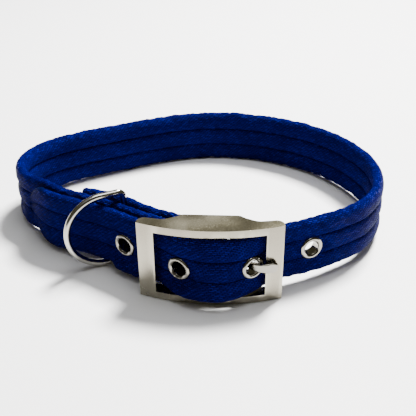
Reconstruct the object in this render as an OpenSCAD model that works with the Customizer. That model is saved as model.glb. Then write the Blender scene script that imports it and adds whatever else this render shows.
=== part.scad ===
// Buckle-fastened ribbed webbing collar for a dog, buckled and standing on its edge.
//
// Plan view: x runs along the buckle, y runs from the buckle to the back of the loop, z is up.
// The plan's own origin is the middle of the buckle, on the line between the two ends of its
// front face. stand() then tips the collar so that the back of the loop reaches the floor, and
// moves the origin to the middle of the footprint.

/* [Webbing] */
// Width of the webbing
strap_w = 25; // [24:0.5:25.5]
// Thickness of the webbing over its ribs
strap_t = 3.8; // [3.4:0.1:4]
// Depth of the seam between two ribs, on each face
seam_depth = 0.45; // [0.2:0.05:0.6]
// Distance between two eyelets, along the webbing
eyelet_pitch = 27.4; // [26:0.1:29]

/* [Buckle] */
// Width of the buckle frame, side to side
buckle_w = 55; // [54:0.5:56]
// Height of the buckle frame
buckle_h = 33; // [33:0.5:36]
// How far the middle of the front face stands ahead of its ends
buckle_bow = 5.2; // [5:0.1:5.4]
// Width of each side bar
side_bar_w = 6.5; // [6:0.1:6.8]
// Thickness of each side bar
side_bar_t = 2.2; // [2:0.1:2.4]
// Height of the upper and of the lower wall
wall_h = 3; // [2.6:0.1:3.2]
// Radius of the centre bar that the webbing and the prong turn on
bar_r = 1.8; // [1.6:0.1:1.9]

/* [Prong] */
// Thickness of the prong
prong_t = 1.7; // [1.4:0.1:1.9]
// Height of the prong's shank
prong_h = 2.3; // [2.2:0.1:3]
// Height of the prong's rounded tip
prong_tip_h = 4.3; // [3:0.1:4.6]

/* [Rings and eyelets] */
// Radius of the D-ring's wire
wire_r = 1.35; // [1.1:0.05:1.4]
// Widest inside height of the D-ring
ring_inside = 28.3; // [27.8:0.1:28.5]
// Distance from the D-ring's straight side to the far side of its bow, wire centres
ring_depth = 24.3; // [22:0.1:26]
// Radius of the hole through an eyelet
eyelet_r = 3; // [2.9:0.05:3.1]
// Radius of an eyelet's flange
flange_r = 4.8; // [4.6:0.1:5]

/* [Hidden] */

webbing_blue = [0.02, 0.09, 0.5];
thread_blue = [0.04, 0.12, 0.5];
cast_nickel = [0.78, 0.76, 0.7];
bright_nickel = [0.85, 0.84, 0.8];

eps = 0.01;
run_clear = 0.06;                        // running clearance round a bar
steps = 4;                               // points per span of a smooth curve
half_t = strap_t / 2;
mid_h = buckle_h / 2;                    // height of the collar's mid plane
strap_z0 = mid_h - strap_w / 2;          // lower edge of the webbing
bar_pos = [0, 4];                        // centre bar, in plan
fold_bite = 0.25;                        // how far the bar's bore cuts into the fold
fold_r = bar_r + half_t - fold_bite;     // radius of the webbing's middle where it turns
fold_start = 70;                         // where the webbing meets that turn, and where it leaves
fold_end = -120;
fold_step = 19;

// ---- the webbing's route, in plan ---------------------------------------------------------

// The end that is folded back inside the collar, from its cut end to the centre bar
inner_route = [[-55, 33.6], [-48.5, 31.2], [-42, 29], [-35.4, 25.8], [-28.5, 20.8],
               [-20, 16], [-10, 11.6]];
// From the centre bar round the neck to the buckle again, and through it to the tip
outer_route = [[-12, 6.3], [-24, 12.6], [-38, 20.4], [-52, 27.3], [-63, 32.4], [-73, 39.3],
               [-82.6, 46.1], [-87.6, 56], [-86.6, 67.5], [-79.5, 78.5], [-67.5, 87.6], [-54, 95.2],
               [-40, 102.6], [-25, 109.2], [-9, 113.2], [8, 113.4], [26, 109], [43, 100.2],
               [57, 87.3], [66, 72], [69.4, 57], [67.8, 42], [60.8, 28.6], [50, 19.6], [39, 13],
               [30, 9], [22.5, 4.9], [13.6, -3], [2, -5.8], [-10.5, -3], [-21.5, 4.9],
               [-32.5, 11.7], [-43, 17.7], [-53.5, 22.5], [-64, 27], [-72.5, 32.4], [-79.5, 38.4]];

function unit(v) = v / norm(v);
function left_of(v) = [-v[1], v[0]];
function on_circle(c, r, a) = c + r * [cos(a), sin(a)];
function last(p) = p[len(p) - 1];
function reversed(p) = [for (i = [len(p) - 1 : -1 : 0]) p[i]];
function part_of(p, i0, i1) = [for (i = [i0 : i1]) p[i]];

// Smooth curve through a, b, c and d, between b and c
function spline_at(a, b, c, d, s) =
    0.5 * (2 * b + (c - a) * s + (2 * a - 5 * b + 4 * c - d) * s * s
           + (3 * b - a - 3 * c + d) * s * s * s);
function smooth(p, n) =
    [for (i = [0 : len(p) - 2], k = [0 : n - 1])
        spline_at(p[max(i - 1, 0)], p[i], p[i + 1], p[min(i + 2, len(p) - 1)], k / n)];

fold_arc = [for (a = [fold_start : -fold_step : fold_end + eps]) on_circle(bar_pos, fold_r, a)];
inner_part = smooth(concat(inner_route, [fold_arc[0]]), steps);
outer_part = smooth(concat([on_circle(bar_pos, fold_r, fold_end)], outer_route), steps);
route = concat(inner_part, fold_arc, outer_part, [last(outer_route)]);
outer_start = len(inner_part) + len(fold_arc);

function along(p, i) = unit(p[min(i + 1, len(p) - 1)] - p[max(i - 1, 0)]);
function side(p, d) = [for (i = [0 : len(p) - 1]) p[i] + d * left_of(along(p, i))];

// Distance along the route up to each of its points
function run(p, i = 0, sum = 0) =
    i >= len(p) ? [] :
    concat([sum], run(p, i + 1, i + 1 < len(p) ? sum + norm(p[i + 1] - p[i]) : sum));
distances = run(route);
total = last(distances);
function index_at(s, i = 0) = distances[i + 1] >= s ? i : index_at(s, i + 1);
function point_at(s) =
    let (i = index_at(s), f = (s - distances[i]) / (distances[i + 1] - distances[i]))
    route[i] + f * (route[i + 1] - route[i]);
function angle_at(s) =
    let (d = point_at(s + 1) - point_at(s - 1)) atan2(d[1], d[0]);

// ---- where the collar stands --------------------------------------------------------------

edge_points = concat(side(route, half_t), side(route, -half_t));
plan_x = [for (p = edge_points) p[0]];
plan_y = [for (p = edge_points) p[1]];
lug_back = bar_pos[1] + bar_r + 0.7;     // rear face of the buckle's lugs
tip_angle = asin(strap_z0 / (max(plan_y) - lug_back));
origin_x = (min(plan_x) + max(plan_x)) / 2;
origin_y = (min(plan_y) + max(plan_y)) / 2;
lift = lug_back * sin(tip_angle);

module stand() {
    translate([-origin_x, -origin_y * cos(tip_angle) - mid_h * sin(tip_angle), lift])
        rotate([-tip_angle, 0, 0]) children();
}

// Puts children at distance s along the webbing, x along it, y down it and z outwards
module on_webbing(s) {
    translate(concat(point_at(s), mid_h)) rotate([0, 0, angle_at(s)]) rotate([-90, 0, 0]) children();
}

// ---- webbing ------------------------------------------------------------------------------

prong_eyelet_s = total - 107.8;           // the eyelet that the prong goes through
eyelet_s = [for (k = [-1 : 2]) prong_eyelet_s + k * eyelet_pitch];
eyelet_drop = [0.3, 0.2, 0.9, 1.1];         // how far each eyelet sits below the webbing's middle

module at_eyelet(k) {
    on_webbing(eyelet_s[k]) translate([0, eyelet_drop[k], 0]) children();
}

rib_w = strap_w / 3;
seam_w = 1.2;
barrel_wall = 0.4;
barrel_r = eyelet_r + barrel_wall;
recess = 0.4;                            // how deep an eyelet's flanges press into the webbing
flange_room = 0.9;                       // height cleared outside each face round an eyelet
seat_clear = 0.08;
slot_h = 6;                              // slot in the fold that the prong's eye sits in
slot_left = -8;
slot_right = 9;
slot_front = bar_pos[1] - fold_r - half_t - 0.5;
slot_back = 13.5;
tip_start = len(route) - 1 - 2 * steps;  // first point of the stretch that holds the tip

// Webbing of thickness t between points i0 and i1 of the route
module ribbon(t, z0, h, i0, i1) {
    translate([0, 0, z0]) linear_extrude(h)
        polygon(concat(part_of(side(route, t / 2), i0, i1),
                       reversed(part_of(side(route, -t / 2), i0, i1))));
}

module ribbed(i0, i1) {
    ribbon(strap_t - 2 * seam_depth, strap_z0, strap_w, i0, i1);
    for (k = [0 : 2])
        ribbon(strap_t, strap_z0 + k * rib_w + (k == 0 ? 0 : seam_w / 2),
               rib_w - (k == 1 ? seam_w : seam_w / 2), i0, i1);
}

// Rounded outline of the tip, pressed through the webbing's thickness
module tip_outline() {
    on_webbing(total - strap_w / 2) translate([0, 0, -strap_t]) {
        cylinder(r = strap_w / 2, h = 2 * strap_t, $fn = 96);
        translate([-strap_w, -strap_w / 2, 0]) cube([strap_w, strap_w, 2 * strap_t]);
    }
}

module prong_slot() {
    translate([slot_left, slot_front, mid_h - slot_h / 2])
        cube([slot_right - slot_left, slot_back - slot_front, slot_h]);
    translate([slot_left, slot_front, mid_h]) rotate([-90, 0, 0])
        cylinder(r = slot_h / 2, h = slot_back - slot_front, $fn = 48);
}

module webbing_strap() {
    color(webbing_blue) stand() difference() {
        union() {
            ribbed(0, tip_start);
            intersection() {
                ribbed(tip_start - 1, len(route) - 1);
                tip_outline();
            }
        }
        for (k = [0 : 3]) at_eyelet(k) {
            cylinder(r = barrel_r + seat_clear, h = strap_t + 2 * flange_room, center = true, $fn = 64);
            for (f = [0, 1]) mirror([0, 0, f]) translate([0, 0, half_t - recess])
                cylinder(r = flange_r + seat_clear, h = recess + flange_room, $fn = 64);
        }
        translate(bar_pos) cylinder(r = bar_r + run_clear, h = buckle_h, $fn = 64);
        translate(ring_pos) cylinder(r = wire_r + run_clear, h = buckle_h, $fn = 64);
        prong_slot();
        for (d = tack_d) tack_room(d);
    }
}

// ---- eyelets ------------------------------------------------------------------------------

washer_t = 0.4;
rim_h = 0.75;                            // height of a flange over the webbing's sunk face
rim_r = 4.1;                             // radius of the rolled rim on the inside
rim_lap = 0.15;                          // how far the barrel runs into the flange and the rim
dome = [[0, 0.3], [0.15, 0.75], [0.4, 1], [0.65, 1], [0.85, 0.8], [1, 0.35], [1, 0]];

// Barrel with a domed flange outside and a rolled rim inside
module eyelet(k) {
    z_out = half_t - recess;
    z_in = z_out + washer_t + eps;
    color(bright_nickel) stand() at_eyelet(k) rotate_extrude($fn = 96) union() {
        translate([eyelet_r, -z_in - rim_lap]) square([barrel_wall, z_out + z_in + 2 * rim_lap]);
        polygon(reversed(concat([[eyelet_r, z_out]],
                                [for (d = dome) [eyelet_r + d[0] * (flange_r - eyelet_r), z_out + d[1] * rim_h]])));
        polygon(concat([[eyelet_r, -z_in]],
                       [for (d = dome) [eyelet_r + d[0] * (rim_r - eyelet_r), -z_in - d[1] * rim_h * 0.8]]));
    }
}

module washer(k) {
    color(cast_nickel) stand() at_eyelet(k) translate([0, 0, recess - half_t - washer_t])
        difference() {
            cylinder(r = flange_r, h = washer_t, $fn = 96);
            translate([0, 0, -eps])
                cylinder(r = barrel_r + seat_clear / 2, h = washer_t + 2 * eps, $fn = 96);
        }
}

module eyelet_1() { eyelet(0); }
module eyelet_2() { eyelet(1); }
module eyelet_3() { eyelet(2); }
module eyelet_4() { eyelet(3); }
module eyelet_washer_1() { washer(0); }
module eyelet_washer_2() { washer(1); }
module eyelet_washer_3() { washer(2); }
module eyelet_washer_4() { washer(3); }

// ---- stitching ----------------------------------------------------------------------------

stitch_r = 0.35;
stitch_clear = 0.05;
stitch_sunk = 0.15;                      // how deep a stitch presses into the face
tack_rows = 2;
row_pitch = 2;
stitches = 8;                            // needle holes in a row
stitch_pitch = 3;
// Distance of each tack from the centre bar, along the outer layer
tack_d = [23, 52];
// Gap between the faces of the two layers at each tack
function layer_depth(d) =
    let (p = point_at(distances[outer_start] + d),
         n = left_of(unit(point_at(distances[outer_start] + d + 1) - p)))
    min([for (q = part_of(route, 0, outer_start - 4 * steps))
        norm(q - p) ]) + strap_t;

module rod(a, b, r) {
    v = b - a;
    translate(a) rotate([0, acos(v[2] / norm(v)), atan2(v[1], v[0])]) cylinder(r = r, h = norm(v), $fn = 24);
    translate(a) sphere(r = r, $fn = 24);
    translate(b) sphere(r = r, $fn = 24);
}

// Heights of a tack's stitches on the outer layer's outside and on the inner layer's inside
function stitch_top() = half_t + stitch_r - stitch_sunk;
function stitch_low(d) = half_t - layer_depth(d) - stitch_r + stitch_sunk;
function row_x(row) = (row - (tack_rows - 1) / 2) * row_pitch;
function hole_y(k) = (k - (stitches - 1) / 2) * stitch_pitch;

// Needle holes, and the grooves that the stitches pull into both faces
module tack_room(d) {
    groove_w = 2 * (stitch_r + stitch_clear);
    groove_l = (stitches - 1) * stitch_pitch + groove_w;
    on_webbing(distances[outer_start] + d) for (row = [0 : tack_rows - 1]) translate([row_x(row), 0, 0]) {
        for (k = [0 : stitches - 1]) translate([0, hole_y(k), stitch_low(d)])
            cylinder(r = stitch_r + stitch_clear, h = stitch_top() - stitch_low(d), $fn = 24);
        for (z = [stitch_top(), stitch_low(d)])
            translate([-groove_w / 2, -groove_l / 2, z - groove_w / 2]) cube([groove_w, groove_l, groove_w]);
    }
    // where the thread crosses from one row to the next
    on_webbing(distances[outer_start] + d)
        translate([row_x(0), hole_y(stitches - 1), stitch_low(d)] - groove_w / 2 * [1, 1, 1])
            cube([row_pitch + groove_w, groove_w, groove_w]);
}

// One thread that goes up one row of needle holes and down the next
module tack_thread(d) {
    holes = [for (row = [0 : tack_rows - 1], k = [0 : stitches - 1])
        [row_x(row), hole_y(row % 2 == 0 ? k : stitches - 1 - k)]];
    z = [stitch_top(), stitch_low(d)];
    on_webbing(distances[outer_start] + d) for (i = [0 : len(holes) - 1]) {
        rod(concat(holes[i], z[1]), concat(holes[i], z[0]), stitch_r);
        if (i + 1 < len(holes))
            rod(concat(holes[i], z[i % 2]), concat(holes[i + 1], z[i % 2]), stitch_r);
    }
}

module bar_tack_buckle_side() { color(thread_blue) stand() tack_thread(tack_d[0]); }
module bar_tack_ring_side() { color(thread_blue) stand() tack_thread(tack_d[1]); }

// ---- buckle -------------------------------------------------------------------------------

half_w = buckle_w / 2;
face_r = (half_w * half_w + buckle_bow * buckle_bow) / (2 * buckle_bow);
face_axis = [0, face_r - buckle_bow];
back_corner_r = 3;
lug_half_w = 10.4;
end_back = 3.7;                          // rear edge of the walls at the buckle's ends
dip_x = 18.5;
dip_back = 2.7;

// Everything behind the front face and ahead of the rear edge of the walls
module wall_plan() {
    half_edge = [[half_w, -buckle_bow - 1], [half_w, end_back - back_corner_r],
                 for (a = [15 : 15 : 75]) [half_w, end_back] - back_corner_r * [1 - cos(a), 1 - sin(a)],
                 [half_w - back_corner_r, end_back], [dip_x + 2, dip_back + 0.3], [dip_x, dip_back],
                 [dip_x - 2, dip_back + 0.4], [lug_half_w + 2.6, lug_back - 1.7],
                 [lug_half_w + 1.2, lug_back - 0.5], [lug_half_w, lug_back]];
    polygon(concat(half_edge, reversed([for (p = half_edge) [-p[0], p[1]]])));
}

module face_cylinder(r, z0, h) {
    translate(concat(face_axis, z0)) cylinder(r = r, h = h, $fn = 360);
}

module buckle_frame() {
    color(cast_nickel) stand() {
        intersection() {
            for (z = [0, buckle_h - wall_h]) translate([0, 0, z]) linear_extrude(wall_h) wall_plan();
            face_cylinder(face_r, 0, buckle_h);
        }
        difference() {
            face_cylinder(face_r, wall_h - eps, buckle_h - 2 * wall_h + 2 * eps);
            face_cylinder(face_r - side_bar_t, wall_h - 1, buckle_h);
            translate([-half_w + side_bar_w, -2 * buckle_bow, 0])
                cube([buckle_w - 2 * side_bar_w, 2 * face_r, buckle_h]);
            for (m = [0, 1]) mirror([m, 0, 0]) translate([half_w, -face_r, 0])
                cube([face_r, 3 * face_r, buckle_h]);
            translate([-face_r, half_w / 2, 0]) cube([2 * face_r, 2 * face_r, buckle_h]);
        }
        translate(concat(bar_pos, wall_h - eps))
            cylinder(r = bar_r, h = buckle_h - 2 * wall_h + 2 * eps, $fn = 64);
    }
}

// ---- prong --------------------------------------------------------------------------------

prong_eye_r = bar_r + run_clear + 1.25;
prong_eye_h = 4.4;
prong_tip = [26.6, -2.15];
prong_neck_x = 13.5;                     // where the shank starts to widen
prong_end_x = 23.5;                      // centre of the rounded end
prong_rise = 0.05;                       // height of the shank's middle over the bar's middle
// From the centre bar through the eyelet, then along the front of the side bar
prong_route = [bar_pos, [5, 2.3], [10, 0.45], [14.4, -1.6], [17.4, -3.35], [20.3, -3.9], [23, -3.3],
               prong_tip];

// The shank seen from the front: level, then widening to its rounded end
module prong_front() {
    upper = [[0, prong_h / 2], [prong_neck_x, prong_h / 2],
             [(prong_neck_x + prong_end_x) / 2, (prong_h + 2 * prong_tip_h) / 6],
             for (a = [100 : -10 : 0]) [prong_end_x, 0] + prong_tip_h / 2 * [cos(a), sin(a)]];
    polygon(concat(reversed(upper), [for (q = upper) [q[0], -q[1]]]));
}

module prong_shank() {
    p = concat(smooth(prong_route, 6), [last(prong_route)]);
    intersection() {
        translate([0, 0, -prong_tip_h]) linear_extrude(2 * prong_tip_h)
            polygon(concat(side(p, prong_t / 2), reversed(side(p, -prong_t / 2))));
        translate([0, 2 * prong_tip_h, 0]) rotate([90, 0, 0]) linear_extrude(4 * prong_tip_h) prong_front();
    }
}

module buckle_prong() {
    color(bright_nickel) stand() difference() {
        union() {
            translate([0, 0, mid_h + prong_rise]) prong_shank();
            translate(concat(bar_pos, mid_h - prong_eye_h / 2))
                cylinder(r = prong_eye_r, h = prong_eye_h, $fn = 64);
        }
        translate(bar_pos) cylinder(r = bar_r + run_clear, h = buckle_h, $fn = 64);
    }
}

// ---- D-ring -------------------------------------------------------------------------------

ring_pos = [-36, 23.2];                  // the D-ring's straight side, in plan
ring_rest = 208;                         // which way the ring lies from there
ring_lift = 0.95;                        // how far the ring's middle stands above the webbing's
ring_corner = 2.4;                       // radius of the corners beside the straight side
ring_half = ring_inside / 2 + wire_r;
ring_leg = ring_depth - ring_half;

module bend(r, a) {
    rotate([90, 0, 0]) rotate_extrude(angle = a, $fn = 96) translate([r, 0]) circle(r = wire_r, $fn = 48);
}

module d_ring() {
    color(bright_nickel) stand() translate(concat(ring_pos, mid_h + ring_lift)) rotate([0, 0, ring_rest]) {
        for (m = [0, 1]) mirror([0, 0, m]) {
            cylinder(r = wire_r, h = ring_half - ring_corner, $fn = 48);
            translate([ring_corner, 0, ring_half - ring_corner]) rotate([0, -90, 0]) bend(ring_corner, 90);
            translate([ring_corner, 0, ring_half]) rotate([0, 90, 0])
                cylinder(r = wire_r, h = ring_leg - ring_corner, $fn = 48);
        }
        translate([ring_leg, 0, 0]) rotate([0, 90, 0]) bend(ring_half, 180);
    }
}

webbing_strap();
buckle_frame();
buckle_prong();
d_ring();
eyelet_1();
eyelet_2();
eyelet_3();
eyelet_4();
eyelet_washer_1();
eyelet_washer_2();
eyelet_washer_3();
eyelet_washer_4();
bar_tack_buckle_side();
bar_tack_ring_side();
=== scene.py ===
import math

import bmesh
import bpy
import numpy as np
from mathutils import Matrix, Vector


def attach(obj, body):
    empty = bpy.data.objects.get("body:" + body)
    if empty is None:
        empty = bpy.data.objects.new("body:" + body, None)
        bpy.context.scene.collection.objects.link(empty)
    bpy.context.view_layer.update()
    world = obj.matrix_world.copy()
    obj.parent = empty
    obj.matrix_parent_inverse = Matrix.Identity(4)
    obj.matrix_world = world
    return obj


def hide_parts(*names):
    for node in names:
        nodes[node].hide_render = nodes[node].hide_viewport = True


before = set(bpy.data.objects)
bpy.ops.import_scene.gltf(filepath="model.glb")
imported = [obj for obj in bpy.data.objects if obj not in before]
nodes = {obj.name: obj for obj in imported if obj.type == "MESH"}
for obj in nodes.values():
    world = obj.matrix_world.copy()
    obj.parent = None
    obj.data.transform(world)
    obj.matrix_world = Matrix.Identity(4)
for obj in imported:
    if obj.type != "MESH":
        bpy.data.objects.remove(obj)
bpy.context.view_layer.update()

MM = 0.001

# ---- the webbing's route, as in part.scad, millimetres -------------------------------------

STRAP_W, STRAP_T = 25.0, 3.8
HALF_T = STRAP_T / 2
MID_H = 16.5
BAR = np.array([0.0, 4.0])
BAR_R, FOLD_BITE = 1.8, 0.25
FOLD_R = BAR_R + HALF_T - FOLD_BITE
FOLD_FROM, FOLD_TO = 70, -120            # degrees round the bar
INNER_ROUTE = [(-55, 33.6), (-48.5, 31.2), (-42, 29), (-35.4, 25.8), (-28.5, 20.8), (-20, 16), (-10, 11.6)]
OUTER_ROUTE = [(-12, 6.3), (-24, 12.6), (-38, 20.4), (-52, 27.3), (-63, 32.4), (-73, 39.3),
               (-82.6, 46.1), (-87.6, 56), (-86.6, 67.5), (-79.5, 78.5), (-67.5, 87.6), (-54, 95.2),
               (-40, 102.6), (-25, 109.2), (-9, 113.2), (8, 113.4), (26, 109), (43, 100.2),
               (57, 87.3), (66, 72), (69.4, 57), (67.8, 42), (60.8, 28.6), (50, 19.6), (39, 13),
               (30, 9), (22.5, 4.9), (13.6, -3), (2, -5.8), (-10.5, -3), (-21.5, 4.9),
               (-32.5, 11.7), (-43, 17.7), (-53.5, 22.5), (-64, 27), (-72.5, 32.4), (-79.5, 38.4)]
EYELET_PITCH = 27.4
PRONG_EYELET_BACK = 107.8
EYELET_DROP = (0.3, 0.2, 0.9, 1.1)       # below the webbing's middle
TACK_D = (23.0, 52.0)


def smooth(p, n):
    """A smooth curve through the points p, with n points to each stretch and without the last point."""
    p = np.asarray(p, float)
    out = []
    for i in range(len(p) - 1):
        a, b, c, d = p[max(i - 1, 0)], p[i], p[i + 1], p[min(i + 2, len(p) - 1)]
        for k in range(n):
            s = k / n
            out.append(0.5 * (2 * b + (c - a) * s + (2 * a - 5 * b + 4 * c - d) * s * s
                              + (3 * b - a - 3 * c + d) * s ** 3))
    return out


def on_circle(c, r, a):
    a = math.radians(a)
    return np.asarray(c) + r * np.array([math.cos(a), math.sin(a)])


def make_route(steps, fold_step):
    """Points along the middle of the webbing's thickness, and how many come before the outer layer."""
    angles = np.arange(FOLD_FROM, FOLD_TO + 0.01, -fold_step)
    arc = [on_circle(BAR, FOLD_R, a) for a in angles]
    inner = smooth(INNER_ROUTE + [tuple(arc[0])], steps)
    outer = smooth([tuple(on_circle(BAR, FOLD_R, FOLD_TO))] + OUTER_ROUTE, steps)
    return np.array(inner + arc + outer + [np.array(OUTER_ROUTE[-1], float)]), len(inner) + len(arc)


def tangents(p):
    t = np.empty_like(p)
    t[1:-1] = p[2:] - p[:-2]
    t[0], t[-1] = p[1] - p[0], p[-1] - p[-2]
    return t / np.linalg.norm(t, axis=1)[:, None]


def left_of(t):
    return np.stack([-t[:, 1], t[:, 0]], 1)


def run(p):
    return np.concatenate([[0], np.cumsum(np.linalg.norm(np.diff(p, axis=0), axis=1))])


ROUTE, OUTER_START = make_route(4, 19)
ARC = run(ROUTE)
TOTAL = ARC[-1]
ASIDE = HALF_T * left_of(tangents(ROUTE))
FACES = np.vstack([ROUTE + ASIDE, ROUTE - ASIDE])
LUG_BACK = BAR[1] + BAR_R + 0.7          # the collar stands on this edge of the buckle and on the loop's back
STRAP_Z0 = MID_H - STRAP_W / 2
TIP = math.asin(STRAP_Z0 / (FACES[:, 1].max() - LUG_BACK))
ORIGIN = (FACES.min(0) + FACES.max(0)) / 2
LIFT = LUG_BACK * math.sin(TIP)


def stand(p):
    """Points of the collar's own frame, in millimetres, to the row's frame, in metres."""
    p = np.atleast_2d(np.asarray(p, float))
    c, s = math.cos(TIP), math.sin(TIP)
    x = p[:, 0] - ORIGIN[0]
    y = p[:, 1] * c + p[:, 2] * s - ORIGIN[1] * c - MID_H * s
    z = -p[:, 1] * s + p[:, 2] * c + LIFT
    return np.stack([x, y, z], 1) * MM


EYELET_S = [TOTAL - PRONG_EYELET_BACK + k * EYELET_PITCH for k in (-1, 0, 1, 2)]
TACK_S = [ARC[OUTER_START] + d for d in TACK_D]


# ---- value noise ----------------------------------------------------------------------------

def lattice(seed, n=256):
    return np.random.default_rng(seed).uniform(-1, 1, (n, n))


def noise(x, y, seed):
    """Smooth noise from -1 to 1 on a lattice of whole numbers."""
    g = lattice(seed)
    n = g.shape[0]
    xi, yi = np.floor(x).astype(int), np.floor(y).astype(int)
    fx, fy = x - xi, y - yi
    fx, fy = fx * fx * (3 - 2 * fx), fy * fy * (3 - 2 * fy)
    a, b = g[xi % n, yi % n], g[(xi + 1) % n, yi % n]
    c, d = g[xi % n, (yi + 1) % n], g[(xi + 1) % n, (yi + 1) % n]
    return (a * (1 - fx) + b * fx) * (1 - fy) + (c * (1 - fx) + d * fx) * fy


def ramp(x, lo, hi):
    """0 up to lo, 1 from hi, smooth between."""
    t = np.clip((x - lo) / (hi - lo), 0, 1)
    return t * t * (3 - 2 * t)


# ---- materials ------------------------------------------------------------------------------

YARN_W, YARN_L = 0.62, 1.9               # one float of the weave, millimetres
YARN_SHIFT = 0.382                       # how far each column is staggered from the last, in floats
YARN_RELIEF = 0.00034


class Nodes:
    """Short calls for building a material's node tree."""

    def __init__(self, name):
        self.mat = bpy.data.materials.new(name)
        self.mat.use_nodes = True
        self.tree = self.mat.node_tree
        self.tree.nodes.clear()
        self.out = self.tree.nodes.new("ShaderNodeOutputMaterial")
        self.shader = self.tree.nodes.new("ShaderNodeBsdfPrincipled")
        self.link(self.shader.outputs[0], self.out.inputs["Surface"])

    def link(self, a, b):
        self.tree.links.new(a, b)

    def put(self, socket, value):
        if isinstance(value, bpy.types.NodeSocket):
            self.link(value, socket)
        elif value is not None:
            socket.default_value = value

    def node(self, kind, inputs=(), **props):
        n = self.tree.nodes.new("ShaderNode" + kind)
        for k, v in props.items():
            setattr(n, k, v)
        for k, v in dict(inputs).items():
            self.put(n.inputs[k], v)
        return n

    def math(self, op, a, b=None, c=None, clamp=False):
        n = self.node("Math", operation=op, use_clamp=clamp)
        for i, v in enumerate((a, b, c)):
            self.put(n.inputs[i], v)
        return n.outputs[0]

    def mix(self, f, a, b):
        n = self.node("Mix", data_type="RGBA")
        self.put(n.inputs[0], f)
        self.put(n.inputs[6], a)
        self.put(n.inputs[7], b)
        return n.outputs[2]

    def range(self, v, lo, hi, to_lo, to_hi):
        n = self.node("MapRange", interpolation_type="SMOOTHSTEP")
        for i, x in enumerate((v, lo, hi, to_lo, to_hi)):
            self.put(n.inputs[i], x)
        return n.outputs[0]

    def noise(self, vector, scale, detail=3.0, rough=0.5):
        n = self.node("TexNoise", {"Scale": scale, "Detail": detail, "Roughness": rough})
        if vector is not None:
            self.put(n.inputs["Vector"], vector)
        return n.outputs[0]

    def bump(self, height, strength, distance, normal=None):
        n = self.node("Bump", {"Height": height, "Strength": strength, "Distance": distance})
        if normal is not None:
            self.link(normal, n.inputs["Normal"])
        return n.outputs[0]

    def dome(self, x, power):
        """1 in the middle of 0 to 1, falling to 0 at both ends."""
        off = self.math("ABSOLUTE", self.math("MULTIPLY_ADD", x, 2.0, -1.0))
        return self.math("SUBTRACT", 1.0, self.math("POWER", off, power))

    def attribute(self, name):
        return self.node("Attribute", attribute_name=name, attribute_type="GEOMETRY").outputs["Fac"]

    def set(self, **kw):
        for k, v in kw.items():
            self.put(self.shader.inputs[k.replace("_", " ")], v)


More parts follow.
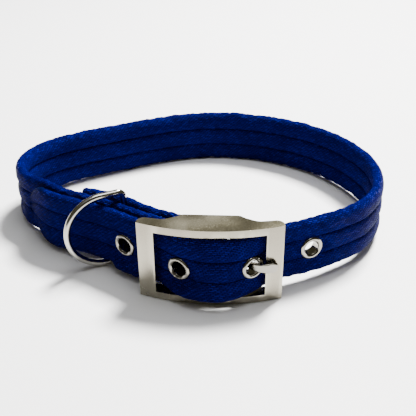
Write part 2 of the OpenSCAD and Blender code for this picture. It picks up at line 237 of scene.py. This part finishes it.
def webbing_material():
    """Yarn floats along the webbing, staggered from column to column, with painted shade in the gaps between
    them.
    """
    m = Nodes("webbing_weave")
    uv = m.node("UVMap", uv_map="weave")
    pos = m.node("TexCoord").outputs["Object"]
    sep = m.node("SeparateXYZ")
    m.link(uv.outputs[0], sep.inputs[0])
    u, v = sep.outputs[0], sep.outputs[1]                      # millimetres along and across
    drift = m.math("SUBTRACT", m.noise(pos, 140.0, 2.0), 0.5)
    wave = m.math("SUBTRACT", m.noise(pos, 420.0, 2.0), 0.5)
    v = m.math("MULTIPLY_ADD", drift, 0.9, v)
    v = m.math("MULTIPLY_ADD", wave, 0.35, v)
    u = m.math("MULTIPLY_ADD", wave, 1.2, u)
    col = m.math("DIVIDE", v, YARN_W)
    ci, cf = m.math("FLOOR", col), m.math("FRACT", col)
    shift = m.math("FRACT", m.math("MULTIPLY", ci, YARN_SHIFT))
    row = m.math("ADD", m.math("DIVIDE", u, YARN_L), shift)
    ri, rf = m.math("FLOOR", row), m.math("FRACT", row)
    across = m.dome(cf, 2.0)
    along = m.dome(rf, 3.0)
    height = m.math("MULTIPLY", m.math("POWER", across, 0.7), m.math("POWER", along, 0.6))
    cell = m.node("CombineXYZ")
    m.link(ci, cell.inputs[0])
    m.link(ri, cell.inputs[1])
    rnd = m.node("TexWhiteNoise", noise_dimensions="2D")
    m.link(cell.outputs[0], rnd.inputs["Vector"])
    spread = rnd.outputs["Value"]
    edge = m.attribute("edge")
    broad = m.noise(pos, 55.0, 3.0)
    body = m.mix(spread, (0.0006, 0.0002, 0.06, 1), (0.0014, 0.0006, 0.125, 1))
    body = m.mix(m.range(broad, 0.3, 0.75, 0.0, 0.5), body, (0.0005, 0.0002, 0.045, 1))
    # painted shade: the selvedges a little darker than the body, to hold down the strong light on them
    body = m.mix(edge, body, m.mix(spread, (0.0004, 0.0002, 0.05, 1), (0.001, 0.0008, 0.11, 1)))
    # painted shade: where the floats run low, in the gaps between them, the colour goes nearly black
    colour = m.mix(m.range(height, 0.18, 0.8, 0.0, 1.0), (0.0, 0.0001, 0.006, 1), body)
    # single filaments along each float; and the odd float that would catch the light, painted brighter in the
    # base colour as a painted highlight (glint), more often at the selvedges
    thread_uv = m.node("CombineXYZ")
    m.link(m.math("MULTIPLY", u, 0.35), thread_uv.inputs[0])
    m.link(m.math("MULTIPLY", v, 9.0), thread_uv.inputs[1])
    fil = m.noise(thread_uv.outputs[0], 1.0, 1.0)
    colour = m.mix(m.range(fil, 0.35, 0.75, 0.35, 0.0), colour, (0.0001, 0.001, 0.022, 1))
    glinting_float = m.range(spread, 0.55, 1.0, 0.0, 1.0)
    glint = m.math("MULTIPLY", glinting_float, m.range(height, 0.5, 0.9, 0.0, 1.0))
    glint = m.math("MULTIPLY", glint, m.math("MULTIPLY_ADD", edge, 0.3, 0.25))
    # painted highlight: glinting floats mixed towards a bright blue
    colour = m.mix(m.math("MULTIPLY", glint, 0.4), colour, (0.006, 0.012, 0.3, 1))
    colour = m.mix(m.attribute("seal"), colour, (0.0002, 0.002, 0.03, 1))
    fuzz = m.noise(pos, 2600.0, 2.0)
    h = m.math("MULTIPLY", height, m.math("MULTIPLY_ADD", spread, 0.5, 0.75))
    h = m.math("MULTIPLY_ADD", fuzz, 0.2, h)
    h = m.math("MULTIPLY_ADD", fil, 0.25, h)
    m.set(Base_Color=colour, Roughness=m.range(glint, 0, 1, 0.55, 0.3), Normal=m.bump(h, 1.0, YARN_RELIEF))
    m.set(Specular_IOR_Level=m.math("MULTIPLY_ADD", glint, 0.7, 0.15))
    m.set(IOR=1.12, Specular_Tint=(0.25, 0.35, 1.0, 1))
    return m.mat


def metal_material(name, base, tint, wear_and_sparkle, rough, rough_spread, grain, speckle, top_face_painted_reflection=None):
    """Plated metal: broad changes of tone, worn edges, a grain with bright specks of painted sparkle mostly
    on level faces, and, if given, a painted reflection that darkens the level faces.
    """
    m = Nodes(name)
    pos = m.node("TexCoord").outputs["Object"]
    geo = m.node("NewGeometry")
    normal = m.node("SeparateXYZ")
    m.link(geo.outputs["Normal"], normal.inputs[0])
    level = m.range(normal.outputs[2], 0.7, 0.95, 0.0, 1.0)
    broad = m.noise(pos, 60.0, 4.0)
    fine = m.noise(pos, grain, 3.0, 0.7)
    colour = m.mix(m.range(broad, 0.35, 0.7, 0.0, 1.0), base, tint)
    # painted reflection: faces that look up take a darker olive tone, standing in for the dark room they
    # would mirror
    if top_face_painted_reflection:
        colour = m.mix(level, colour, top_face_painted_reflection)
    # painted sparkle: bright specks of the grain, mostly on faces that look up, where the light falls; the
    # same bright colour also marks the worn edges
    sparkle_share = m.math("MULTIPLY_ADD", level, 0.9, 0.1)
    painted_sparkle = m.math("MULTIPLY", m.range(fine, 0.5, 0.68, 0.0, speckle), sparkle_share)
    colour = m.mix(painted_sparkle, colour, wear_and_sparkle)
    pit_share = m.math("MULTIPLY_ADD", level, 0.85, 0.15)
    pits = m.math("MULTIPLY", m.range(fine, 0.32, 0.48, speckle, 0.0), pit_share)
    pit_colour = tuple(0.45 * c for c in tint[:3]) + (1,)
    colour = m.mix(pits, colour, pit_colour)
    colour = m.mix(m.range(geo.outputs["Pointiness"], 0.52, 0.62, 0.0, 0.35), colour, wear_and_sparkle)
    rough_v = m.range(broad, 0.3, 0.7, rough - rough_spread, rough + rough_spread)
    m.set(Base_Color=colour, Roughness=rough_v, Normal=m.bump(fine, 0.15, 0.00006), Metallic=1.0)
    return m.mat


def thread_material():
    m = Nodes("tack_thread")
    pos = m.node("TexCoord").outputs["Object"]
    twist = m.node("TexWave", {"Scale": 900.0, "Distortion": 1.5, "Detail": 1.0})
    m.link(pos, twist.inputs["Vector"])
    n = m.noise(pos, 700.0)
    colour = m.mix(n, (0.0003, 0.004, 0.07, 1), (0.001, 0.01, 0.15, 1))
    m.set(Base_Color=colour, Roughness=m.range(n, 0, 1, 0.4, 0.6))
    m.set(Normal=m.bump(twist.outputs[0], 0.6, 0.0001), Specular_IOR_Level=0.05)
    return m.mat


# ---- webbing --------------------------------------------------------------------------------

RIB_W = STRAP_W / 3
SEAM = 0.95                              # half the thickness in the seam between two ribs
PLAIN_LOBE = 2.2                         # half the thickness on a rib, for spacing the outline's points
# Half the thickness on a rib, at distances along the route: less where layers or bars are close
PUFF = ((0, 2.1), (110, 2.12), (150, 2.15), (172, 2.4), (440, 2.4), (452, 1.98), (476, 1.98), (484, 2.35),
        (500, 2.25), (512, 2.12), (575, 2.1), (590, 2.0))
OUTER_RIB_SHAPE, MIDDLE_RIB_SHAPE = 2.3, 2.6     # powers: higher is squarer
OUTLINE_SAMPLES = 4001
EDGE_BAND = (9.5, 12.3)                  # height above the middle where the selvedge starts and is full
TAIL_BAND = (440, 450)                   # where the free end starts, along the route
FINE_STEPS, FINE_FOLD = 12, 4.75         # points a stretch, and degrees a point round the bar
EYELET_FLAT, EYELET_FLAT_BAND = 1.52, (5.0, 8.5)
TACK_FLAT, TACK_FLAT_BAND = 1.74, (1.6, 4.2)
# Height, length, width, and the noise's shift from side to side and seed
LUMPS = ((0.12, 7.0, 4.0, 9, 3),         # swelling of the ribs
         (0.10, 2.3, 0.9, 40, 5),        # puckers across them
         (0.05, 1.1, 0.45, 60, 11))      # single floats
FRAY = (0.10, 0.9, 0.5, 5, 13)           # the same, on the selvedges
FLAT_CALM, RIM_CALM = 0.8, 0.7           # how much smoother flats and the stretch under the rim are
TIP_LENGTH, TIP_THINNING, TIP_SINK = 16, 0.35, 0.9
CUT_END_LENGTH, CUT_END_SWELL, CUT_END_SPREAD = 7.0, 0.08, 0.45
TIP_SEAL_BAND = (STRAP_W / 2 - 1.2, STRAP_W / 2 - 0.2)   # distance from the tip's centre
CUT_SEAL_BAND = (0.2, 1.2)
CUT_CORNER, CUT_ROUNDING = 6.0, 2.2      # millimetres over which the cut end rounds off
SCALLOPS = ((0.30, 3.1, 0.5, 0), (0.24, 1.25, 3.5, 1))   # height, length, shifts of the noise
# Stretches of the free end by their place along the buckle: rise from, full from, full to, gone by
RIM_X = (-24.0, -18.0, 17.0, 23.0)       # under the upper wall
WINDOW_X = (-20.5, -7.0, 3.0, 17.0)      # in the buckle's window
LEFT_X = (-41.0, -37.0, -29.5, -25.0)    # between the buckle and the D-ring
SAG_X, SAG_Y = (56.0, 66.0), (70.0, 84.0)          # the loop's left end
WINDOW_LEAN = ((-12.5, 2.0), (0, 0.8), (12.5, -0.8))   # outwards, by height above the middle
LEFT_LEAN = 1.6
WINDOW_DROP, LEFT_DROP, SAG_DROP, RIM_RISE = 0.65, 1.7, 1.3, 0.65
LOW_BAND, EDGE_MOVE_BAND = (3.0, 12.5), (4.0, 12.0)
SEAT_R, SEAT_REACH = 3.42, 2.7           # the hole cut for an eyelet's barrel
SLOT_LOW, SLOT_HIGH = (-8, -2.35, 13.5), (9, 13.5, 19.5)   # the prong's slot in the fold


def section(count):
    """The outline's points: height above the middle, plain depth, seam, share of the lobe, side."""
    v = np.linspace(0, STRAP_W, OUTLINE_SAMPLES)
    k = np.clip((v / RIB_W).astype(int), 0, 2)
    w = np.abs((v - (k + 0.5) * RIB_W) / (RIB_W / 2))
    outer_rib = (np.abs(v - STRAP_W / 2) > RIB_W)
    lobe = np.where(outer_rib, np.sqrt(np.clip(1 - w ** OUTER_RIB_SHAPE, 0, 1)),
                    np.sqrt(np.clip(1 - w ** MIDDLE_RIB_SHAPE, 0, 1)))
    seam = np.where(outer_rib, 0.0, SEAM)
    depth = seam + (PLAIN_LOBE - seam) * lobe
    outer = np.stack([v - STRAP_W / 2, depth, seam, lobe, np.ones_like(v)], 1)
    back = (outer * [1, -1, 1, 1, -1])[::-1][1:-1]
    ring = np.vstack([outer, back, outer[:1]])
    d = np.concatenate([[0], np.cumsum(np.linalg.norm(np.diff(ring[:, :2], axis=0), axis=1))])
    at = np.linspace(0, d[-1], count, endpoint=False)
    out = np.stack([np.interp(at, d, ring[:, i]) for i in range(5)], 1)
    return out, at, d[-1]


def frame_at(s):
    """The route's point and left-hand normal at a distance along it."""
    p = np.array([np.interp(s, ARC, ROUTE[:, 0]), np.interp(s, ARC, ROUTE[:, 1])])
    q = np.array([np.interp(s + 1, ARC, ROUTE[:, 0]), np.interp(s + 1, ARC, ROUTE[:, 1])])
    r = np.array([np.interp(s - 1, ARC, ROUTE[:, 0]), np.interp(s - 1, ARC, ROUTE[:, 1])])
    t = (q - r) / np.linalg.norm(q - r)
    return p, np.array([-t[1], t[0]])


def bump_between(x, a, b, c, d):
    """0 outside a to d, 1 between b and c."""
    return ramp(x, a, b) * (1 - ramp(x, c, d))


def stations(step):
    """Points along a fine route, at the coarse route's distances, by which eyelets and tacks are placed."""
    fine, _ = make_route(FINE_STEPS, FINE_FOLD)
    d = run(fine)
    s = np.linspace(0, d[-1], int(d[-1] / step))
    p = np.stack([np.interp(s, d, fine[:, 0]), np.interp(s, d, fine[:, 1])], 1)
    return s * TOTAL / d[-1], p


def eyelet_flats(S, V):
    """1 where an eyelet presses the webbing flat, falling to 0 round it."""
    flat = np.zeros_like(V)
    for es, drop in zip(EYELET_S, EYELET_DROP):
        flat = np.maximum(flat, 1 - ramp(np.hypot(S - es, V + drop), *EYELET_FLAT_BAND))
    return flat


def half_thickness(prof, s, S, V, side, edge, flat):
    """Ribs and seams, pressed flat at eyelets and stitches, with uneven lumps."""
    depth = prof[:, 2] + (np.interp(s, *zip(*PUFF))[:, None] - prof[:, 2]) * prof[:, 3]
    depth = depth * (1 - flat) + np.minimum(depth, EYELET_FLAT) * flat
    for ts in TACK_S:
        near = (1 - ramp(np.abs(S - ts), *TACK_FLAT_BAND)) * (1 - edge)
        depth = depth * (1 - near) + np.minimum(depth, TACK_FLAT) * near
    lump = 0
    for height, length, width, shift, seed in LUMPS:
        lump = lump + height * noise(S / length, V / width + shift * side, seed)
    return depth + np.minimum(depth, 1) * lump * (1 - FLAT_CALM * flat)


def scalloped(V, s, edge, calm):
    """Push the selvedges in and out by uneven scallops."""
    for sign, seed in ((1, 7), (-1, 9)):
        lumps = 0
        for height, length, shift, more in SCALLOPS:
            lumps = lumps + height * noise(s / length, np.full_like(s, seed + shift), seed + more)
        V = V + np.where(V * sign > 0, edge * sign * lumps[:, None] * calm, 0)
    return V


def rounded_ends(V, depth, s, past):
    """A half-round tip, and a cut end with soft corners."""
    radius = STRAP_W / 2
    V = V * (np.sqrt(np.clip(radius ** 2 - past ** 2, 0.3, None)) / radius)[:, None]
    start = np.sqrt(np.clip(1 - (1 - np.clip(s / CUT_ROUNDING, 0, 1)) ** 2, 0.09, 1))[:, None]
    corner = np.sqrt(1 - (1 - np.clip(s / CUT_CORNER, 0, 1)) ** 2)[:, None]
    return V * (0.8 + 0.2 * corner), depth * start


def make_strap(step=0.6, around=212):
    """The webbing, with a ring of that many points every step millimetres along it."""
    s, p = stations(step)
    prof, at, perimeter = section(around)
    S, V = np.meshgrid(s, prof[:, 0], indexing="ij")
    side = np.repeat(np.sign(prof[:, 4])[None, :], len(s), 0)
    edge = ramp(np.abs(V), *EDGE_BAND)                      # 1 at the selvedges
    tail = ramp(s, *TAIL_BAND)[:, None]                     # 1 on the free end
    flat = eyelet_flats(S, V)
    depth = half_thickness(prof, s, S, V, side, edge, flat)
    tip = ramp(s, TOTAL - TIP_LENGTH, TOTAL)[:, None]
    cut_end = 1 - ramp(s, 0.0, CUT_END_LENGTH)[:, None]     # the end folded back inside: a soft lump
    depth = depth * (1 - TIP_THINNING * tip)
    depth = depth * (1 + CUT_END_SWELL * cut_end)
    x = p[:, 0][:, None]
    under_rim = bump_between(x, *RIM_X) * tail
    V = scalloped(V, s, edge, 1 - RIM_CALM * under_rim)
    height, length, width, shift, seed = FRAY
    fray = height * noise(S / length, depth / width + shift * side, seed)
    V = V + edge * np.sign(V) * (CUT_END_SPREAD * cut_end + fray)
    past = np.clip(s - (TOTAL - STRAP_W / 2), 0, None)
    V, depth = rounded_ends(V, depth, s, past)
    # in the window the free end bellies out below, over the buckle's lower wall
    window = bump_between(x, *WINDOW_X) * tail
    left = bump_between(x, *LEFT_X) * tail
    lean = window * np.interp(V, *zip(*WINDOW_LEAN)) + left * LEFT_LEAN * ramp(-V, *LOW_BAND)
    # its edges hang lower there, left of the buckle and at the loop's left end, and reach up under the rim
    sag = ramp(-x, *SAG_X) * (1 - ramp(p[:, 1], *SAG_Y)[:, None])
    drop = (WINDOW_DROP * window + LEFT_DROP * left + SAG_DROP * sag) * ramp(-V, *EDGE_MOVE_BAND)
    V = V - drop + RIM_RISE * under_rim * ramp(V, *EDGE_MOVE_BAND)
    lean = lean * (1 - flat)
    nrm = left_of(tangents(p))
    P = p[:, None, :] + nrm[:, None, :] * (depth * side + lean)[..., None]
    P = P - nrm[:, None, :] * (TIP_SINK * tip)[..., None]   # the tip lies flat on the layer under it
    me = skin(stand(np.concatenate([P, (MID_H + V)[..., None]], -1).reshape(-1, 3)), len(s), around)
    lay_weave(me, s, at, perimeter)
    from_tip = ramp(np.hypot(past[:, None], V), *TIP_SEAL_BAND)
    melt = np.where(past[:, None] > 0, from_tip, 0)
    melt = np.maximum(melt, 1 - ramp(S, *CUT_SEAL_BAND))
    for name, values in (("seal", melt), ("edge", edge)):
        layer = me.attributes.new(name, "FLOAT", "POINT")
        layer.data.foreach_set("value", np.append(values.ravel(), [1, 1]).astype(float))
    me.update()
    for f in me.polygons:
        f.use_smooth = True
    return linked("webbing", me)


def skin(verts, count, around):
    """A tube of count rings, closed by a fan at each end whose centres are the last two points."""
    idx = np.arange(count * around).reshape(count, around)
    a, b = idx[:-1], idx[1:]
    faces = np.stack([a, np.roll(a, -1, 1), np.roll(b, -1, 1), b], -1).reshape(-1, 4).tolist()
    c0, c1 = len(verts), len(verts) + 1
    ends = np.vstack([verts[idx[0]].mean(0), verts[idx[-1]].mean(0)])
    faces += [[c0, int(idx[0][(j + 1) % around]), int(idx[0][j])] for j in range(around)]
    faces += [[c1, int(idx[-1][j]), int(idx[-1][(j + 1) % around])] for j in range(around)]
    me = bpy.data.meshes.new("webbing")
    me.from_pydata(np.vstack([verts, ends]).tolist(), [], faces)
    return me


def lay_weave(me, s, at, perimeter):
    """UVs in millimetres along and across, kept continuous round the section."""
    around = len(at)
    uv = me.uv_layers.new(name="weave")
    loops = np.empty(len(me.loops), int)
    me.loops.foreach_get("vertex_index", loops)
    su = np.append(np.repeat(s, around), [s[0], s[-1]])
    sv = np.append(np.tile(at, len(s)), [0, 0])
    coords = np.stack([su[loops], sv[loops]], 1)
    quads = (len(s) - 1) * around
    block = coords[:4 * quads].reshape(quads, 4, 2)
    wrap = block[:, :, 1].max(1) - block[:, :, 1].min(1) > perimeter / 2
    block[wrap, :, 1] += np.where(block[wrap, :, 1] < perimeter / 2, perimeter, 0)
    coords[:4 * quads] = block.reshape(-1, 2)
    uv.data.foreach_set("uv", coords.ravel())


def linked(name, me):
    ob = bpy.data.objects.new(name, me)
    bpy.context.collection.objects.link(ob)
    return ob


def meshed(name, bm):
    """The object made from a bmesh, which is freed."""
    me = bpy.data.meshes.new(name)
    bm.to_mesh(me)
    bm.free()
    return linked(name, me)


def cylinder_cutter(name, centre, axis, radius, reach, segments=48):
    """A closed cylinder about centre that reaches both ways along axis, in the row's frame."""
    bm = bmesh.new()
    radius, depth = radius * MM, 2 * reach * MM
    bmesh.ops.create_cone(bm, cap_ends=True, segments=segments, radius1=radius, radius2=radius, depth=depth)
    turn = Vector((0, 0, 1)).rotation_difference(Vector(axis)).to_matrix().to_4x4()
    bm.transform(Matrix.Translation(Vector(centre)) @ turn)
    return meshed(name, bm)


def eyelet_cutters():
    out = []
    for i, s in enumerate(EYELET_S):
        p, n = frame_at(s)
        centre = stand([p[0], p[1], MID_H - EYELET_DROP[i]])[0]
        axis = stand([p[0] + n[0], p[1] + n[1], MID_H - EYELET_DROP[i]])[0] - centre
        out.append(cylinder_cutter("cut%d" % i, centre, axis / np.linalg.norm(axis), SEAT_R, SEAT_REACH))
    return out


def slot_cutter():
    bm = bmesh.new()
    bmesh.ops.create_cube(bm, size=1.0)
    lo, hi = np.array(SLOT_LOW), np.array(SLOT_HIGH)
    for v in bm.verts:
        v.co = stand(lo + (np.array(v.co) + 0.5) * (hi - lo))[0]
    return meshed("slot", bm)


def boolean_cut(ob, cutters):
    for c in cutters:
        mod = ob.modifiers.new("cut", "BOOLEAN")
        mod.operation, mod.solver, mod.object = "DIFFERENCE", "EXACT", c
    dg = bpy.context.evaluated_depsgraph_get()
    me = bpy.data.meshes.new_from_object(ob.evaluated_get(dg), preserve_all_data_layers=True, depsgraph=dg)
    ob.modifiers.clear()
    old = ob.data
    ob.data = me
    bpy.data.meshes.remove(old)
    for c in cutters:
        bpy.data.objects.remove(c)


webbing_mat = webbing_material()
# satin's last colour is a painted reflection, a darker olive on faces that look up
satin = metal_material("satin_nickel_cast", (0.265, 0.242, 0.192, 1), (0.232, 0.212, 0.165, 1),
                       (0.5, 0.47, 0.37, 1), 0.26, 0.05, 1900.0, 0.6, (0.19, 0.172, 0.112, 1))
bright = metal_material("bright_nickel_plate", (0.44, 0.425, 0.39, 1), (0.37, 0.355, 0.32, 1),
                        (0.6, 0.58, 0.53, 1), 0.1, 0.03, 1500.0, 0.08)
polished = metal_material("polished_nickel", (0.25, 0.236, 0.205, 1), (0.2, 0.19, 0.163, 1),
                          (0.5, 0.48, 0.43, 1), 0.14, 0.04, 1500.0, 0.1)
thread = thread_material()

strap = make_strap()
boolean_cut(strap, eyelet_cutters() + [slot_cutter()])
strap.data.materials.clear()
strap.data.materials.append(webbing_mat)
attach(strap, "strap")
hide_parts("webbing_strap")

WELD_WITHIN = 0.01
BUCKLE_BEVEL, EYELET_BEVEL = 0.35, 0.12
PRONG_VOXEL, PRONG_PASSES = 0.2, 26


def dress(node, mat, bevel=0.0):
    """Give a CAD node its material and, if asked, edges rounded by bevel millimetres."""
    ob = nodes[node]
    ob.data.materials.clear()
    ob.data.materials.append(mat)
    if bevel:
        weld = ob.modifiers.new("weld", "WELD")
        weld.merge_threshold = WELD_WITHIN * MM
        b = ob.modifiers.new("bevel", "BEVEL")
        b.width, b.segments, b.limit_method, b.angle_limit = bevel * MM, 4, "ANGLE", math.radians(35)
        b.harden_normals = True


def round_over(node, voxel, passes):
    """Melt a cast piece's edges: a fine even skin, then relaxed."""
    ob = nodes[node]
    skin = ob.modifiers.new("skin", "REMESH")
    skin.mode, skin.voxel_size, skin.use_smooth_shade = "VOXEL", voxel * MM, True
    relax = ob.modifiers.new("relax", "SMOOTH")
    relax.factor, relax.iterations = 0.5, passes


dress("buckle_frame", satin, BUCKLE_BEVEL)
dress("buckle_prong", polished)
round_over("buckle_prong", PRONG_VOXEL, PRONG_PASSES)
dress("d_ring", bright)
for k in range(1, 5):
    dress("eyelet_%d" % k, polished, EYELET_BEVEL)
    dress("eyelet_washer_%d" % k, satin)
dress("bar_tack_buckle_side", thread)
dress("bar_tack_ring_side", thread)

# ---- floor, light and camera ----------------------------------------------------------------

FLOOR_HALF = 3.0
SKY_STRENGTH = 0.2


def floor():
    me = bpy.data.meshes.new("floor")
    r = FLOOR_HALF
    me.from_pydata([(-r, -r, 0), (r, -r, 0), (r, r, 0), (-r, r, 0)], [], [(0, 1, 2, 3)])
    ob = linked("floor", me)
    m = Nodes("floor_white")
    pos = m.node("TexCoord").outputs["Object"]
    n = m.noise(pos, 3.0)
    m.set(Base_Color=m.mix(n, (0.86, 0.86, 0.87, 1), (0.90, 0.90, 0.91, 1)), Roughness=0.6)
    me.materials.append(m.mat)


floor()


def area(name, at, target, size, power, colour=(1, 1, 1)):
    li = bpy.data.lights.new(name, "AREA")
    li.shape, li.size, li.size_y = "RECTANGLE", size[0], size[1]
    li.energy, li.color = power, colour
    ob = bpy.data.objects.new(name, li)
    ob.location = at
    ob.rotation_euler = (Vector(target) - Vector(at)).to_track_quat("-Z", "Y").to_euler()
    bpy.context.collection.objects.link(ob)


KEY_SIZE, KEY_POWER = (0.22, 0.22), 54.0
TOP_SIZE, TOP_POWER = (0.5, 0.5), 4.0
area("key", (0.26, 0.36, 0.8), (0, 0, 0), KEY_SIZE, KEY_POWER, (1.0, 0.99, 0.97))
area("top", (0.1, 0.0, 0.95), (0, 0, 0), TOP_SIZE, TOP_POWER, (0.98, 0.99, 1.0))


def sky():
    """Dark warm room from the horizon up, brightening to a pale ceiling."""
    world = bpy.data.worlds.new("studio")
    bpy.context.scene.world = world
    world.use_nodes = True
    tree = world.node_tree
    bg = tree.nodes["Background"]
    coord = tree.nodes.new("ShaderNodeTexCoord")
    sep = tree.nodes.new("ShaderNodeSeparateXYZ")
    ramp_node = tree.nodes.new("ShaderNodeValToRGB")
    tree.links.new(coord.outputs["Generated"], sep.inputs[0])
    tree.links.new(sep.outputs[2], ramp_node.inputs[0])
    stops = ramp_node.color_ramp.elements
    stops[0].position, stops[0].color = 0.0, (1.0, 1.0, 1.0, 1)
    stops[1].position, stops[1].color = 1.0, (1.9, 1.95, 2.05, 1)
    room = ((0.12, (0.75, 0.74, 0.7, 1)), (0.3, (0.55, 0.5, 0.3, 1)),
            (0.75, (0.6, 0.55, 0.38, 1)), (0.9, (1.7, 1.72, 1.78, 1)))
    for at, colour in room:
        stop = stops.new(at)
        stop.color = colour
    tree.links.new(ramp_node.outputs[0], bg.inputs[0])
    bg.inputs[1].default_value = SKY_STRENGTH


sky()


def seen_from(x, y, z):
    """A point of the room, given in plan millimetres from the middle of the buckle."""
    return ((x - ORIGIN[0]) * MM, (y - ORIGIN[1] * math.cos(TIP)) * MM, z * MM)


CAM_AT, CAM_TO = seen_from(12.7, -211.7, 176.5), seen_from(-3.6, 47.6, 10.0)
ROLL = math.radians(0.735)
LENS, SENSOR = 60.58, 36.0
cam_data = bpy.data.cameras.new("camera")
cam_data.lens = LENS
cam_data.sensor_width = SENSOR
cam_data.clip_start, cam_data.clip_end = 0.01, 20.0
cam = bpy.data.objects.new("camera", cam_data)
look = (Vector(CAM_TO) - Vector(CAM_AT)).to_track_quat("-Z", "Y").to_matrix()
cam.matrix_world = Matrix.Translation(CAM_AT) @ (look @ Matrix.Rotation(-ROLL, 3, "Z")).to_4x4()
bpy.context.collection.objects.link(cam)
bpy.context.scene.camera = cam
